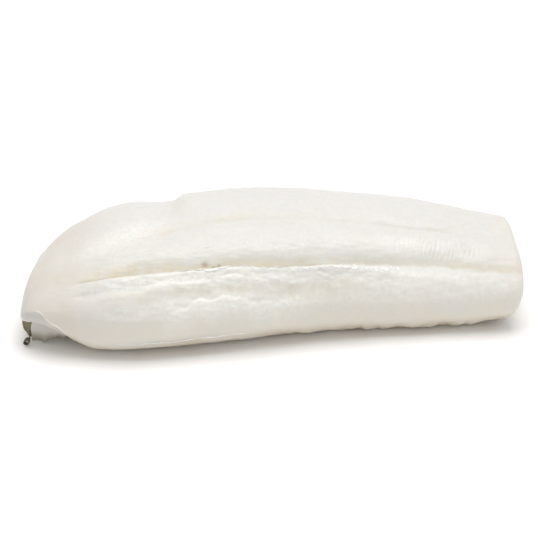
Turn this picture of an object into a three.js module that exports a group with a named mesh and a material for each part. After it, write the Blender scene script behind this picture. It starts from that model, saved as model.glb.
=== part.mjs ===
import * as THREE from 'three';

// A whole loin of salt cod, soaked and skinned, lying on its flat underside, with a last scrap
// of skin hanging at its rounded end. Lengths are in millimetres and turns in degrees.
// +X runs along the loin to the square cut end, +Y to the far side, and +Z is up.

// Driving sizes of the loin
const LENGTH = 284;
const WIDTH = 112;
const HEIGHT = 60;

// The outline at evenly spaced stations, from the rounded end to the cut end: how far the near
// and the far side reach, as shares of half the width, and how high the back is, as a share of
// the height
const NEAR_SHARES = [0.92, 1.06, 0.93, 0.73, 0.61, 0.54];
const FAR_SHARES = [0.79, 0.85, 1, 0.975, 0.86, 0.7];
const TOP_SHARES = [0.775, 0.92, 1, 0.98, 0.905, 0.78];

// The rounded end: where its tip is, the run over which each side swells out of it and how
// full that curve is, and the run over which the lifted underside comes down to the ground
const TIP = { y: -36.5, z: 17.5 };
const SWELL = {
  near: { run: 25, power: 2.5 },
  far: { run: 68, power: 2.2 },
  top: { run: 62, power: 2.5 },
};
const LIFT = { from: 8, run: 36 };

// How high the underside of the cut end curls up, and the run over which it does
const END_LIFT = { height: 4.5, run: 34 };

// Where its rims are lifted, the underside sags between them and all but touches the ground:
// the share of that height it sags by, the run behind the tip over which that grows, and how
// near it starts to the rims, as a share of the way out to them
const SAG = { share: 0.96, run: 14, reach: 0.83 };

// The section: its widest level as a share of the height, how boxy it is over and under that
// level, how much the back leans to the far side, and how far the round underside is flattened
const WIDEST = 0.42;
const BOXY = { over: 2.25, under: 2.6 };
const LEAN = 0.18;
const FLATTEN = 1.25;

// The turn of the rim of the flattened underside, and how far out it lies, as a share
const RIM_TURN = -THREE.MathUtils.radToDeg(Math.asin(FLATTEN ** (-BOXY.under / 2)));
const RIM_SIDE = Math.cos(THREE.MathUtils.degToRad(RIM_TURN)) ** (2 / BOXY.over);

// The seams between the muscles run along the loin. At the stations, each has its turn round
// the section, where 0 is the near side and 90 the top, and the width of its near slope. Its
// depth grows and fades over the given runs at its two ends
const MAIN_SEAM = {
  turns: [51.5, 54, 51, 47.2, 44.6, 42.5],
  near: [2.4, 2.2, 2.2, 3.5, 9, 16],
  far: 12,
  depth: 4.2,
  from: -118,
  grow: 48,
  to: 190,
  fade: 170,
};
const UPPER_SEAM = {
  turns: [70, 81, 88, 86.5, 82.5, 80],
  near: [7, 7, 7, 7, 7, 7],
  far: 8,
  depth: 1.6,
  from: -112,
  grow: 50,
  to: 150,
  fade: 45,
};

// The thin rolled lip along the near edge of the main seam, and the soft hollow under it
const LIP = { height: 0.9, away: 3.4, width: 2.2, from: -118, grow: 48, to: 110, fade: 110 };
const HOLLOW = { depth: 1.1, away: 15, width: 6, from: -75, grow: 25, to: 45, fade: 25 };

// The saddle over the far side, where the thin flap of the nape ends in a small step
const SADDLE = {
  depth: 3.1,
  from: -84,
  grow: 21,
  to: -52,
  fade: 7,
  turns: [82, 165],
  turnFade: 25,
};

// The cut end: how far its far side and its foot are cut back, the share of its height that is
// foot, the run over which the stations turn to that cut, its rounded edge, and how far its
// face bulges round a core at a share of its height
const CUT_SLANT = 6.5;
const CUT_UNDER = 2.4;
const CUT_FOOT = 0.6;
const CUT_TURN_RUN = 90;
const CUT_ROUND = 4;
const CUT_BULGE = 1.6;
const CUT_CORE = 0.42;

// Facets: stations on the rounded end, along the body, round the cut edge and over its face
const NOSE_STEPS = 16;
const BODY_STEPS = 40;
const CUT_STEPS = 4;
const FACE_STEPS = 4;

// A ring's turns: the middle of the underside, the foot of the near side, the strips beside the
// seams and the far side, and the steps between these knots
const UNDERSIDE = -90;
const NEAR_FOOT = -25;
const FAR_SIDE = 180;
const MAIN_STRIP = 9;
const UPPER_STRIP = 7;
const RING_STEPS = [8, 8, 5, 5, 6, 4, 12, 8];

// The scrap of skin hangs from the underside at the tip, set in a little from the rim of the
// flesh and leaning in. It starts just past the tip, its lower edge is torn at these heights,
// and one thin tail nearly reaches the ground
const SCRAP = { past: 0.9, length: 20.5, thick: 1.1, inset: 0.7, lean: 1.5, ripple: 0.4, gap: 0.35 };
const SCRAP_EDGE = [9, 6, 3.6, 3.8, 5, 7];
const SCRAP_TAIL = { share: 0.16, width: 0.055, height: 0.8 };
const SCRAP_LEAST = 0.8;
const SCRAP_RIM_FROM = 2.5;
const SCRAP_RIPPLES = 2;
const SCRAP_STEPS = { along: 20, down: 5 };

// Small steps, in degrees and as a share, over which a surface's direction is measured
const TURN_NUDGE = 0.5;
const NUDGE = 0.01;

const LEFT = -LENGTH / 2;
const RIGHT = LENGTH / 2;
const rad = THREE.MathUtils.degToRad;
const smooth = (value) => THREE.MathUtils.smoothstep(value, 0, 1);

// A smooth curve through evenly spaced values, read at a share of the way along them
function along(values, share) {
  const last = values.length - 1;
  const place = THREE.MathUtils.clamp(share, 0, 1) * last;
  const first = Math.min(Math.floor(place), last - 1);
  const t = place - first;
  const value = (index) => values[THREE.MathUtils.clamp(index, 0, last)];
  const start = value(first);
  const end = value(first + 1);
  const leave = (end - value(first - 1)) / 2;
  const arrive = (value(first + 2) - start) / 2;
  return start + t * (leave + t * (3 * (end - start) - 2 * leave - arrive
    + t * (2 * (start - end) + leave + arrive)));
}

// How much of its full size one side has reached at a distance behind the tip
function swell({ run, power }, distance) {
  const left = 1 - Math.min(distance / run, 1);
  return (1 - left ** power) ** (1 / power);
}

const power = (value, exponent) => Math.sign(value) * Math.abs(value) ** exponent;
const stationShare = (x) => (x - LEFT) / LENGTH;

// The sides, the back, the rim of the underside and its sag at x
function outline(x) {
  const share = stationShare(x);
  const distance = x - LEFT;
  const near = -WIDTH / 2 * along(NEAR_SHARES, share);
  const far = WIDTH / 2 * along(FAR_SHARES, share);
  const top = HEIGHT * along(TOP_SHARES, share);
  const base = TIP.z * (1 - smooth((distance - LIFT.from) / LIFT.run))
    + END_LIFT.height * smooth(1 - (RIGHT - x) / END_LIFT.run);
  return {
    near: TIP.y + (near - TIP.y) * swell(SWELL.near, distance),
    far: TIP.y + (far - TIP.y) * swell(SWELL.far, distance),
    top: TIP.z + (top - TIP.z) * swell(SWELL.top, distance),
    base,
    sag: base * SAG.share * smooth(distance / SAG.run),
  };
}

// A point of the plain section at x, before its relief
function sectionPoint(x, turn) {
  const { near, far, top, base, sag } = outline(x);
  const reach = (far - near) / 2;
  const level = base + WIDEST * (top - base);
  const side = -power(Math.cos(rad(turn)), 2 / BOXY.over);
  const rise = Math.sin(rad(turn));
  const over = (top - level) * power(Math.max(rise, 0), 2 / BOXY.over) * (1 + LEAN * side);
  const under = FLATTEN * (level - base) * power(Math.max(-rise, 0), 2 / BOXY.under);
  const inside = rise < 0 ? Math.max(1 - (side / (RIM_SIDE * SAG.reach)) ** 2, 0) : 0;
  const height = Math.max(level + over - under, base) - sag * inside;
  return new THREE.Vector2((near + far) / 2 + reach * side, height);
}

// The way out of the section at a turn
function outward(x, turn) {
  const edge = sectionPoint(x, turn + TURN_NUDGE).sub(sectionPoint(x, turn - TURN_NUDGE));
  return edge.set(-edge.y, edge.x).normalize();
}

// How far a turn is past a seam, measured across the flesh
function pastSeam(seam, x, turn) {
  const seamTurn = along(seam.turns, stationShare(x));
  const gap = sectionPoint(x, turn).distanceTo(sectionPoint(x, seamTurn));
  return Math.sign(turn - seamTurn) * gap;
}

// How strong a form is at x, between its two ends
const strength = ({ from, grow, to, fade }, x) => smooth((x - from) / grow) * smooth((to - x) / fade);

// A seam's depth at a distance past it
function seamDepth(seam, x, past) {
  const width = past < 0 ? along(seam.near, stationShare(x)) : seam.far;
  return seam.depth * strength(seam, x) * (1 - smooth(Math.abs(past) / width));
}

const bump = (distance, width) => Math.exp(-((distance / width) ** 2));

// The relief of the flesh, measured outward
function relief(x, turn) {
  const pastMain = pastSeam(MAIN_SEAM, x, turn);
  const pastUpper = pastSeam(UPPER_SEAM, x, turn);
  const seams = seamDepth(MAIN_SEAM, x, pastMain) + seamDepth(UPPER_SEAM, x, pastUpper);
  const lip = LIP.height * strength(LIP, x) * bump(pastMain + LIP.away, LIP.width);
  const hollow = HOLLOW.depth * strength(HOLLOW, x) * bump(pastMain + HOLLOW.away, HOLLOW.width);
  const [first, last] = SADDLE.turns;
  const round = smooth((turn - first) / SADDLE.turnFade) * smooth((last - turn) / SADDLE.turnFade);
  return lip - seams - hollow - SADDLE.depth * strength(SADDLE, x) * round;
}

// The turns of one ring: even steps between knots that follow the seams
function ringTurns(x) {
  const main = along(MAIN_SEAM.turns, stationShare(x));
  const upper = along(UPPER_SEAM.turns, stationShare(x));
  const knots = [
    UNDERSIDE, NEAR_FOOT, main - MAIN_STRIP, main, main + MAIN_STRIP,
    upper - UPPER_STRIP, upper + UPPER_STRIP, FAR_SIDE, UNDERSIDE + 360,
  ];
  return RING_STEPS.flatMap((steps, span) => Array.from({ length: steps }, (_, step) => (
    THREE.MathUtils.lerp(knots[span], knots[span + 1], step / steps))));
}

// How far a point at y and z is drawn back along the loin by the slanted cut
function slant(x, y, z) {
  const { near, far, top } = outline(x);
  const turned = smooth(1 - (RIGHT - x) / CUT_TURN_RUN);
  const across = THREE.MathUtils.clamp((y - near) / (far - near), 0, 1);
  return turned * (CUT_SLANT * across + CUT_UNDER * (1 - smooth(z / (CUT_FOOT * top))));
}

// One ring of the finished surface, drawn in by an inset where the cut edge is rounded
function ringPoints(x, inset = 0) {
  return ringTurns(x).map((turn) => {
    const out = outward(x, turn);
    const point = sectionPoint(x, turn).addScaledVector(out, relief(x, turn) - inset);
    return new THREE.Vector3(x - slant(x, point.x, point.y), point.x, Math.max(point.y, 0));
  });
}

// A closed body through rings of equal length, with a point at each end
function loft(rings, start, end) {
  const size = rings[0].length;
  const points = [start, ...rings.flat(), end];
  const faces = [];
  for (let step = 0; step < size; step += 1) {
    const next = (step + 1) % size;
    faces.push(0, 1 + step, 1 + next);
    for (let ring = 0; ring < rings.length - 1; ring += 1) {
      const here = 1 + ring * size;
      const ahead = here + size;
      faces.push(here + step, ahead + next, here + next);
      faces.push(here + step, ahead + step, ahead + next);
    }
    const lastRing = 1 + (rings.length - 1) * size;
    faces.push(points.length - 1, lastRing + next, lastRing + step);
  }
  const geometry = new THREE.BufferGeometry().setFromPoints(points);
  geometry.setIndex(faces);
  return geometry;
}

function loinGeometry() {
  const rings = [];
  for (let step = 1; step <= NOSE_STEPS; step += 1) {
    const x = LEFT + SWELL.far.run * (1 - Math.cos(Math.PI / 2 * step / NOSE_STEPS));
    rings.push(ringPoints(x));
  }
  const bodyFrom = LEFT + SWELL.far.run;
  const bodyTo = RIGHT - CUT_BULGE - CUT_ROUND;
  for (let step = 1; step <= BODY_STEPS; step += 1) {
    const x = THREE.MathUtils.lerp(bodyFrom, bodyTo, step / BODY_STEPS);
    rings.push(ringPoints(x));
  }
  for (let step = 1; step <= CUT_STEPS; step += 1) {
    const angle = Math.PI / 2 * step / CUT_STEPS;
    const x = bodyTo + CUT_ROUND * Math.sin(angle);
    rings.push(ringPoints(x, CUT_ROUND * (1 - Math.cos(angle))));
  }
  const edge = rings.at(-1);
  const { near, far, top } = outline(RIGHT);
  const middle = (near + far) / 2;
  const coreHeight = CUT_CORE * top;
  const core = new THREE.Vector3(RIGHT - slant(RIGHT, middle, coreHeight), middle, coreHeight);
  for (let step = 1; step < FACE_STEPS; step += 1) {
    const share = 1 - step / FACE_STEPS;
    rings.push(edge.map((point) => {
      const inner = core.clone().lerp(point, share);
      return inner.setX(RIGHT - slant(RIGHT, inner.y, inner.z) - CUT_BULGE * share ** 2);
    }));
  }
  return loft(rings, new THREE.Vector3(LEFT, TIP.y, TIP.z), core);
}

// A point on the middle of the scrap, at a share along it and a share down it
function scrapPoint(share, down) {
  const x = LEFT - SCRAP.past + SCRAP.length * share;
  const rim = sectionPoint(Math.max(x, LEFT + SCRAP_RIM_FROM), RIM_TURN);
  const tail = bump(share - SCRAP_TAIL.share, SCRAP_TAIL.width);
  const top = rim.y - SCRAP.gap;
  const torn = Math.min(along(SCRAP_EDGE, share), top - SCRAP_LEAST);
  const edge = THREE.MathUtils.lerp(torn, SCRAP_TAIL.height, tail);
  const lean = SCRAP.lean * down * (top - edge) / TIP.z;
  const ripple = SCRAP.ripple * Math.sin(2 * Math.PI * SCRAP_RIPPLES * share) * down;
  return new THREE.Vector3(x, rim.x + SCRAP.inset + lean + ripple, top + (edge - top) * down);
}

// A thin closed sheet: its outer face, its inner face and the four edges between them
function scrapGeometry() {
  const { along: columns, down: rows } = SCRAP_STEPS;
  const width = columns + 1;
  const size = width * (rows + 1);
  const points = [];
  for (const face of [-0.5, 0.5]) {
    for (let row = 0; row <= rows; row += 1) {
      for (let column = 0; column <= columns; column += 1) {
        const share = column / columns;
        const down = row / rows;
        const run = scrapPoint(share + NUDGE, down).sub(scrapPoint(share - NUDGE, down));
        const back = new THREE.Vector3(-run.y, run.x, 0).normalize();
        points.push(scrapPoint(share, down).addScaledVector(back, face * SCRAP.thick));
      }
    }
  }
  const faces = [];
  const quad = (a, b, c, d) => faces.push(a, b, c, a, c, d);
  const back = (index) => index + size;
  for (let row = 0; row < rows; row += 1) {
    for (let column = 0; column < columns; column += 1) {
      const here = row * width + column;
      const below = here + width;
      quad(here, below, below + 1, here + 1);
      quad(back(here), back(here + 1), back(below + 1), back(below));
    }
  }
  for (let column = 0; column < columns; column += 1) {
    const low = rows * width + column;
    quad(column, column + 1, back(column + 1), back(column));
    quad(low, back(low), back(low + 1), low + 1);
  }
  for (let row = 0; row < rows; row += 1) {
    const left = row * width;
    const right = left + columns;
    quad(left, back(left), back(left + width), left + width);
    quad(right, right + width, back(right + width), back(right));
  }
  const geometry = new THREE.BufferGeometry().setFromPoints(points);
  geometry.setIndex(faces);
  return geometry;
}

const loin = new THREE.Mesh(
  loinGeometry(),
  new THREE.MeshStandardMaterial({ color: 0xebe7de, roughness: 0.42, metalness: 0 }),
);
loin.name = 'loin';

const scrap = new THREE.Mesh(
  scrapGeometry(),
  new THREE.MeshStandardMaterial({ color: 0x9a917f, roughness: 0.5, metalness: 0 }),
);
scrap.name = 'skin_scrap';

// The origin is on the ground, under the middle of the loin
const part = new THREE.Group();
part.add(loin, scrap);
const box = new THREE.Box3().setFromObject(part);
const middle = box.getCenter(new THREE.Vector3());
part.position.set(-middle.x, -middle.y, -box.min.z);

export default part;
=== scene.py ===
import bpy
import numpy as np
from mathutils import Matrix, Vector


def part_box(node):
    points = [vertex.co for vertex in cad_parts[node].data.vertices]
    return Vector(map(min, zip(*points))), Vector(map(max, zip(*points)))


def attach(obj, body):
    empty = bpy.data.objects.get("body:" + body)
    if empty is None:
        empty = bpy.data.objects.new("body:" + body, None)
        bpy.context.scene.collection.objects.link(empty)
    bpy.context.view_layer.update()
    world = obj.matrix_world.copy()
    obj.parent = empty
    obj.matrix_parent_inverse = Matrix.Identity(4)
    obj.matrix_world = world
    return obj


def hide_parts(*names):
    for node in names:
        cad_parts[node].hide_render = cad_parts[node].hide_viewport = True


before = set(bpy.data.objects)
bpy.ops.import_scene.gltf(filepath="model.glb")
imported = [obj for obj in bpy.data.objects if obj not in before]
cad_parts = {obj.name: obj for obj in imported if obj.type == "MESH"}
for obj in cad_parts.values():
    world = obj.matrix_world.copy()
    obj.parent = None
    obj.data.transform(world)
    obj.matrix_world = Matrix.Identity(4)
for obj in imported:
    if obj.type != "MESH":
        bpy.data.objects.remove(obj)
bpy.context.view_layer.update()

# The loin: the thick back muscle of a cod, salted, soaked in water and skinned, cut square at
# one end. It is one piece of flesh, swollen and slippery, and its muscle blocks part along two
# seams that run its whole length. All sizes are in millimetres and turns in degrees.
MM = 0.001
LENGTH = 284
WIDTH = 112
HEIGHT = 60
LEFT = -LENGTH / 2
RIGHT = LENGTH / 2

# Its outline at evenly spaced stations, as shares of half the width and of the height
NEAR_SHARES = [0.92, 1.06, 0.93, 0.73, 0.61, 0.54]
FAR_SHARES = [0.79, 0.85, 1, 0.975, 0.86, 0.7]
TOP_SHARES = [0.775, 0.92, 1, 0.98, 0.905, 0.78]

# The rounded end: its tip, how each side swells out of it, and how its underside comes down
TIP_Y = -36.5
TIP_Z = 17.5
SWELL = {"near": (25, 2.5), "far": (68, 2.2), "top": (62, 2.5)}
LIFT = (8, 36)

# How high the underside of the cut end curls up, and the run over which it does
END_LIFT = {"height": 4.5, "run": 34}

# Where its rims are lifted, the underside sags between them and all but touches the ground:
# the share of that height it sags by, the run behind the tip over which that grows, and how
# near it starts to the rims, as a share of the way out to them
SAG = {"share": 0.96, "run": 14, "reach": 0.83}

# The section: its widest level, how boxy it is over and under that, its lean and its flat foot
WIDEST = 0.42
BOXY_OVER = 2.25
BOXY_UNDER = 2.6
LEAN = 0.18
FLATTEN = 1.25

# The turn of the rim of the flattened underside, and how far out it lies, as a share
RIM_TURN = -np.degrees(np.arcsin(FLATTEN ** (-BOXY_UNDER / 2)))
RIM_SIDE = np.cos(np.radians(RIM_TURN)) ** (2 / BOXY_OVER)


def smooth(value):
    """A soft step from 0 to 1."""
    value = np.clip(value, 0, 1)
    return value * value * (3 - 2 * value)


def bump(distance, width):
    return np.exp(-((distance / width) ** 2))


def between(x, start, grow, end, fade):
    """How strong a form is at x when it grows in after its start and fades before its end."""
    return smooth((x - start) / grow) * smooth((end - x) / fade)


def along(values, share):
    """A smooth curve through evenly spaced values, read at a share of the way along them."""
    values = np.asarray(values, float)
    last = len(values) - 1
    place = np.clip(share, 0, 1) * last
    first = np.minimum(np.floor(place).astype(int), last - 1)
    t = place - first
    start = values[first]
    end = values[first + 1]
    leave = (end - values[np.maximum(first - 1, 0)]) / 2
    arrive = (values[np.minimum(first + 2, last)] - start) / 2
    bend = 3 * (end - start) - 2 * leave - arrive + t * (2 * (start - end) + leave + arrive)
    return start + t * (leave + t * bend)


def station(x):
    return (x - LEFT) / LENGTH


def swell(side, distance):
    run, power = SWELL[side]
    return (1 - (1 - np.minimum(distance / run, 1)) ** power) ** (1 / power)


def outline(x):
    """The near side, the far side, the back, the rim of the underside and its sag at x."""
    distance = x - LEFT
    near = -WIDTH / 2 * along(NEAR_SHARES, station(x))
    far = WIDTH / 2 * along(FAR_SHARES, station(x))
    top = HEIGHT * along(TOP_SHARES, station(x))
    base = TIP_Z * (1 - smooth((distance - LIFT[0]) / LIFT[1]))
    base = base + END_LIFT["height"] * smooth(1 - (RIGHT - x) / END_LIFT["run"])
    return (
        TIP_Y + (near - TIP_Y) * swell("near", distance),
        TIP_Y + (far - TIP_Y) * swell("far", distance),
        TIP_Z + (top - TIP_Z) * swell("top", distance),
        base,
        base * SAG["share"] * smooth(distance / SAG["run"]),
    )


def section(x, turn):
    """A point of the plain section: turn 0 is the near side, 90 the top and 180 the far side."""
    near, far, top, base, sag = outline(x)
    level = base + WIDEST * (top - base)
    cosine = np.cos(np.radians(turn))
    sine = np.sin(np.radians(turn))
    side = -np.sign(cosine) * np.abs(cosine) ** (2 / BOXY_OVER)
    over = (top - level) * np.maximum(sine, 0) ** (2 / BOXY_OVER) * (1 + LEAN * side)
    under = FLATTEN * (level - base) * np.maximum(-sine, 0) ** (2 / BOXY_UNDER)
    inside = np.where(sine < 0, np.maximum(1 - (side / (RIM_SIDE * SAG["reach"])) ** 2, 0), 0)
    height = np.maximum(level + over - under, base) - sag * inside
    return (near + far) / 2 + (far - near) / 2 * side, height


def outward(x, turn):
    """The way out of the section at a turn."""
    nudge = 0.5
    y_after, z_after = section(x, turn + nudge)
    y_before, z_before = section(x, turn - nudge)
    run = y_after - y_before
    rise = z_after - z_before
    size = np.hypot(run, rise)
    return -rise / size, run / size


# The seams between the muscle blocks: where they run, how wide their near slope is at the
# stations, how wide their far slope is, how deep they are, and where they start and end
MAIN_SEAM = {
    "turns": [51.5, 54, 51, 47.2, 44.6, 42.5],
    "near": [2.4, 2.2, 2.2, 3.5, 9, 16],
    "far": 7,
    "depth": 4.2,
    "span": (-118, 48, 190, 170),
}
UPPER_SEAM = {
    "turns": [70, 81, 88, 86.5, 82.5, 80],
    "near": [7, 7, 7, 7, 7, 7],
    "far": 5,
    "depth": 1.6,
    "span": (-112, 50, 150, 60),
}


def past_seam(seam, x, turn):
    """How far a turn is past a seam, straight across the flesh."""
    seam_turn = along(seam["turns"], station(x))
    y, z = section(x, turn)
    seam_y, seam_z = section(x, seam_turn)
    return np.sign(turn - seam_turn) * np.hypot(y - seam_y, z - seam_z)


def turn_past(seam, x, past):
    """The turn that lies a distance past a seam at x."""
    low = along(seam["turns"], station(x)) - 60
    high = low + 120
    for _ in range(24):
        middle = (low + high) / 2
        over = past_seam(seam, x, middle) > past
        low = np.where(over, low, middle)
        high = np.where(over, middle, high)
    return (low + high) / 2


def seam_depth(seam, x, past):
    near_slope = 1 - smooth(-past / along(seam["near"], station(x)))
    far_slope = np.exp(-((np.maximum(past, 0) / seam["far"]) ** 1.4))
    return seam["depth"] * between(x, *seam["span"]) * np.where(past < 0, near_slope, far_slope)


def noise(points, size, seed):
    """Soft random lumps from -1 to 1, about one size across, the same on every run."""
    lattice = np.random.default_rng(seed).uniform(-1, 1, (32, 32, 32))
    place = np.asarray(points) / size
    cell = np.floor(place).astype(int)
    part = place - cell
    part = part * part * (3 - 2 * part)
    total = 0
    for corner in np.ndindex(2, 2, 2):
        index = (cell + corner) % 32
        weight = np.prod(np.where(corner, part, 1 - part), axis=-1)
        total = total + weight * lattice[index[..., 0], index[..., 1], index[..., 2]]
    return total


def wander(x, size, seed):
    """The same lumps along one line."""
    return noise(np.stack([x, 0.5 + 0 * x, 0.5 + 0 * x], -1), size, seed)


# The main seam is torn, so its line wanders: by how much, how often, and where along the loin
SEAM_WANDER = [(0.8, 9, 64), (0.4, 2.8, 65)]
SEAM_WANDER_SPAN = (-60, 40, 150, 30)


def past_torn_seam(x, turn):
    """How far a turn is past the main seam as it was torn."""
    off = sum(size * wander(x, pitch, seed) for size, pitch, seed in SEAM_WANDER)
    return past_seam(MAIN_SEAM, x, turn) + off * between(x, *SEAM_WANDER_SPAN)


# The rolled lip along the near edge of the main seam, the soft hollow under it, and the second
# fold under the lip where the seam begins
LIP = {"height": 0.9, "away": 3.4, "width": 2.2, "span": (-118, 48, 110, 110)}
HOLLOW = {"depth": 1.1, "away": 15, "width": 6, "span": (-75, 25, 45, 25)}
UNDER_FOLD = {"depth": 0.8, "away": 9.5, "width": 2.4, "span": (-116, 14, -62, 24)}

# The saddle over the far side, where the thin flap of the nape ends in a small step, and the
# crease that runs down from that step
SADDLE = {"depth": 3.1, "span": (-84, 21, -52, 7), "turns": (82, 25, 165, 25)}
CREASE = {"depth": 0.5, "x": -53, "width": 2.2, "turns": (84, 10, 125, 15)}

# The back sags a little behind that step
NAPE_SAG = {"depth": 1.2, "x": -42, "width": 20}

# The torn edge of the thin outer layer on the near side: how far under the main seam it lies
# every 10 mm, how proud it stands, the run over which it sinks into the flesh, and its teeth
TORN_EDGE = {
    "from": -60,
    "to": 10,
    "away": [27, 23.5, 20.5, 19.9, 20.3, 21.5, 20.5, 19.5],
    "height": 0.5,
    "run": 17,
    "span": (-68, 16, 30, 30),
    "tooth": 1.9,
    "pitch": 6,
    "rim": 1.7,
}

# The thin rolled edge low on the near side, which rises and falls a little, and the frayed edge
# at the foot of the flank
FOOT_ROLL = {"turn": -16, "height": 0.7, "width": 2.4, "span": (-92, 16, -8, 30)}
FOOT_WAVE = 1.5
FOOT_FRAY = {"size": 1.5, "pitch": 9, "turns": (-60, 14, -16, 14), "span": (-20, 40, 150, 10)}

# Flake lines, as size, pitch, lean, the span along the loin and the span past the main seam:
# across the band between the seams, on the first lobe, faint ones down the flank, and broad
# ones down the far side
FLAKE_LINES = [
    (0.42, 2.4, 0.32, (60, 14, 88, 6), (3, 4, 20, 6)),
    (0.44, 2.4, 0.32, (82, 6, 122, 16), (1, 4, 18, 6)),
    (0.06, 3.4, 0.1, (-20, 20, 60, 20), (4, 4, 22, 6)),
    (0.09, 2.1, -0.6, (-124, 12, -64, 20), (2, 8, 60, 15)),
    (0.07, 5.2, -0.5, (-70, 20, 120, 20), (-40, 8, -12, 8)),
    (0.18, 7.5, 0.45, (-95, 40, 140, 20), (58, 14, 118, 14)),
]

# Small folds in the wet outer film, as x and distance past the main seam at both ends
WISPS = [
    (-46, 11.2, -33, 14.8),
    (-28, 15.8, -23, 14.2),
    (-20, 14.6, -13, 14.9),
    (-58, -8.4, -53, -9.6),
    (-36, -11.6, -29, -12.0),
    (-9, -7.0, -2, -6.2),
    (14, -6.2, 20, -7.0),
    (-97, -14.5, -90, -13.2),
    (2, 17.0, 9, 16.2),
]
WISP_HEIGHT = 0.24
WISP_WIDTH = 0.55

# The dark crease at the foot of the main seam's far slope
SEAM_CREASE = {"depth": 0.8, "away": 0.9, "width": 0.75, "span": (-116, 16, 70, 60)}

# The thin crease in the upper seam towards the cut end
UPPER_CREASE = {"depth": 0.45, "width": 1.0, "span": (20, 40, 128, 40)}

# The edge of the flesh at the rounded end, past which only clear film covers it: its turns
# every 6 mm from its start, how much it waves, how soft it is (and how much softer before which
# x), and the height and width of the small bead along it
FILM_EDGE = {
    "from": -136,
    "to": -112,
    "turns": [24, 14, -5, -12, -24],
    "wave": 1.5,
    "soft": 2.0,
    "softer": (-130, 6, 12),
    "height": 0.7,
    "width": 1.5,
}

# Small pits in the main seam: x, distance past the seam, radius and depth
PITS = [(-38.4, 2.6, 1.7, 1.0), (-30.7, 1.5, 0.8, 0.6), (-33.8, 0.9, 0.7, 0.5)]

# The run behind the tip over which all of this grows in
TIP_CALM = 8

# Swelling of the soaked flesh: size, pitch and stretch along the loin of each layer of lumps
LUMPS = [(0.5, 30, 0.8), (0.42, 11, 0.7), (0.24, 4.8, 0.6), (0.14, 2.4, 0.45)]

# The fibres that stand out where the flesh was torn, on the shoulder under the main seam, along
# the crest of the band over it and down the flank: size, pitch, distance past the seam and width,
# and where along the loin
TORN_FIBRES = [(0.42, 2.2, -7.5, 5.5), (0.22, 2.0, 13, 5), (0.3, 2.6, -26, 7)]
FIBRE_SPAN = (-116, 20, 100, 60)


def relief(x, turn):
    """The form of the flesh over its plain section, measured outward."""
    main = past_torn_seam(x, turn)
    upper = past_seam(UPPER_SEAM, x, turn)
    lip = LIP["height"] * between(x, *LIP["span"]) * bump(main + LIP["away"], LIP["width"])
    form = lip - seam_depth(MAIN_SEAM, x, main) - seam_depth(UPPER_SEAM, x, upper)
    for hollow in (HOLLOW, UNDER_FOLD):
        across = bump(main + hollow["away"], hollow["width"])
        form -= hollow["depth"] * between(x, *hollow["span"]) * across
    sag = SADDLE["depth"] * between(x, *SADDLE["span"])
    sag = sag + NAPE_SAG["depth"] * bump(x - NAPE_SAG["x"], NAPE_SAG["width"])
    form -= sag * between(turn, *SADDLE["turns"])
    crease = CREASE["depth"] * bump(x - CREASE["x"], CREASE["width"])
    form -= crease * between(turn, *CREASE["turns"])
    return form


def film_edge(x):
    """The turn at which the flesh ends in clear film at the rounded end."""
    share = (x - FILM_EDGE["from"]) / (FILM_EDGE["to"] - FILM_EDGE["from"])
    return along(FILM_EDGE["turns"], share) + FILM_EDGE["wave"] * wander(x, 3, 52)


def torn_share(x, main):
    """How much of the torn outer layer is left at a point: 1 at its edge, fading below it."""
    share = (x - TORN_EDGE["from"]) / (TORN_EDGE["to"] - TORN_EDGE["from"])
    teeth = wander(x, TORN_EDGE["pitch"], 5) + 0.7 * wander(x, 2.2, 4) + 0.4 * wander(x, 1.1, 8)
    below = -main - along(TORN_EDGE["away"], share) - TORN_EDGE["tooth"] * teeth
    layer = smooth((below + 0.6) / TORN_EDGE["rim"]) * (1 - smooth(below / TORN_EDGE["run"]))
    return between(x, *TORN_EDGE["span"]) * layer


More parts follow.
